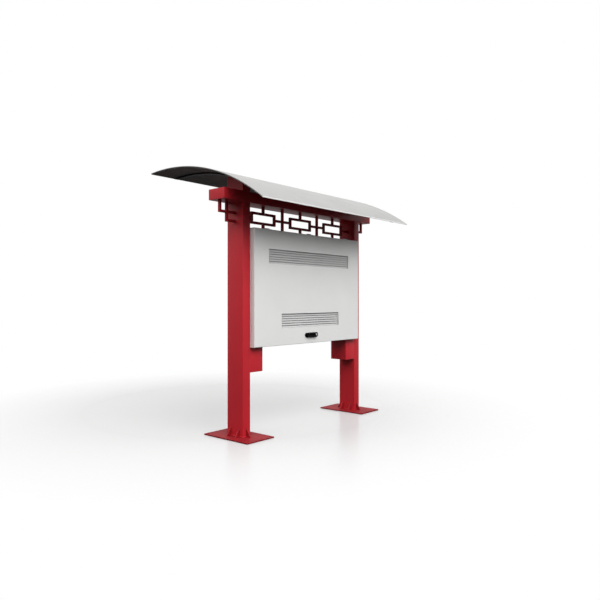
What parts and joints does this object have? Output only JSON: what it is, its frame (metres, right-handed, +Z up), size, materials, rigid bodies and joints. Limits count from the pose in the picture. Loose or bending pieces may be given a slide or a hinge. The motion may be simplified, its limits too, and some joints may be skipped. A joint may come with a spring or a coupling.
{
  "type": "digital signage kiosk",
  "caption": "Outdoor landscape display kiosk: red posts on base plates, grey cabinet with a top-hinged rear service door, fretwork, lintel beam and arched roof.",
  "frame": {"origin": "on the ground, under the middle of the roof", "axes": "+X along the beam, to the right as seen from the service door; +Y towards the screen side; +Z up"},
  "size_m": [2.397, 1.5926, 2.6119],
  "materials": {
    "red_paint": "satin red coating",
    "grey_paint": "fine matt light grey powder coat",
    "vent_paint": "matt mid-grey powder coat",
    "black_paint": "satin black coating",
    "roof_paint": "satin light grey coating",
    "lining_paint": "matt grey coating",
    "bezel_paint": "satin light grey coating",
    "screen_glass": "dark tempered glass, screen off",
    "module_steel": "plain zinc-coated sheet",
    "rail_steel": "zinc-coated steel",
    "seal_rubber": "matt black foam rubber",
    "pin_steel": "bright steel",
    "lock_black": "satin black coating",
    "key_metal": "satin chrome"
  },
  "bodies": {
    "frame": {"left_base_plate": "red_paint", "right_base_plate": "red_paint", "left_gussets": "red_paint", "right_gussets": "red_paint", "left_post": "red_paint", "right_post": "red_paint", "left_support_block": "red_paint", "right_support_block": "red_paint", "lintel_beam": "red_paint", "left_beam_cap": "red_paint", "right_beam_cap": "red_paint", "left_roof_stub": "red_paint", "right_roof_stub": "red_paint", "left_fret_panel": "red_paint", "middle_fret_panel": "red_paint", "right_fret_panel": "red_paint", "fret_divider_bars": "red_paint", "left_fret_bracket": "red_paint", "right_fret_bracket": "red_paint", "cabinet_bottom": "grey_paint", "cabinet_top": "grey_paint", "cabinet_left_wall": "grey_paint", "cabinet_right_wall": "grey_paint", "fixed_hinge_knuckles": "grey_paint", "left_roof_rib": "black_paint", "right_roof_rib": "black_paint", "roof_sheet": "roof_paint", "roof_lining": "lining_paint", "bezel_bottom": "bezel_paint", "bezel_top": "bezel_paint", "bezel_left": "bezel_paint", "bezel_right": "bezel_paint", "screen_glass": "screen_glass", "display_module": "module_steel", "left_module_rail": "rail_steel", "right_module_rail": "rail_steel", "door_seal": "seal_rubber", "hinge_pins": "pin_steel"},
    "door": {"service_door": "grey_paint", "upper_vent_grille": "vent_paint", "lower_vent_grille": "vent_paint", "door_hinge_knuckles": "grey_paint", "lock_plate": "lock_black"},
    "lever": {"lock_lever": "lock_black", "key_cylinder": "key_metal"}
  },
  "joints": [
    {"name": "door_swing", "type": "hinge", "parent": "frame", "child": "door", "pos_m": [0, -0.3114, 1.9935], "axis": [-1, 0, 0], "range_deg": [0, 85]},
    {"name": "lever_turn", "type": "hinge", "parent": "door", "child": "lever", "pos_m": [0.049, -0.366, 0.935], "axis": [0, 1, 0], "range_deg": [0, 90]}
  ]
}
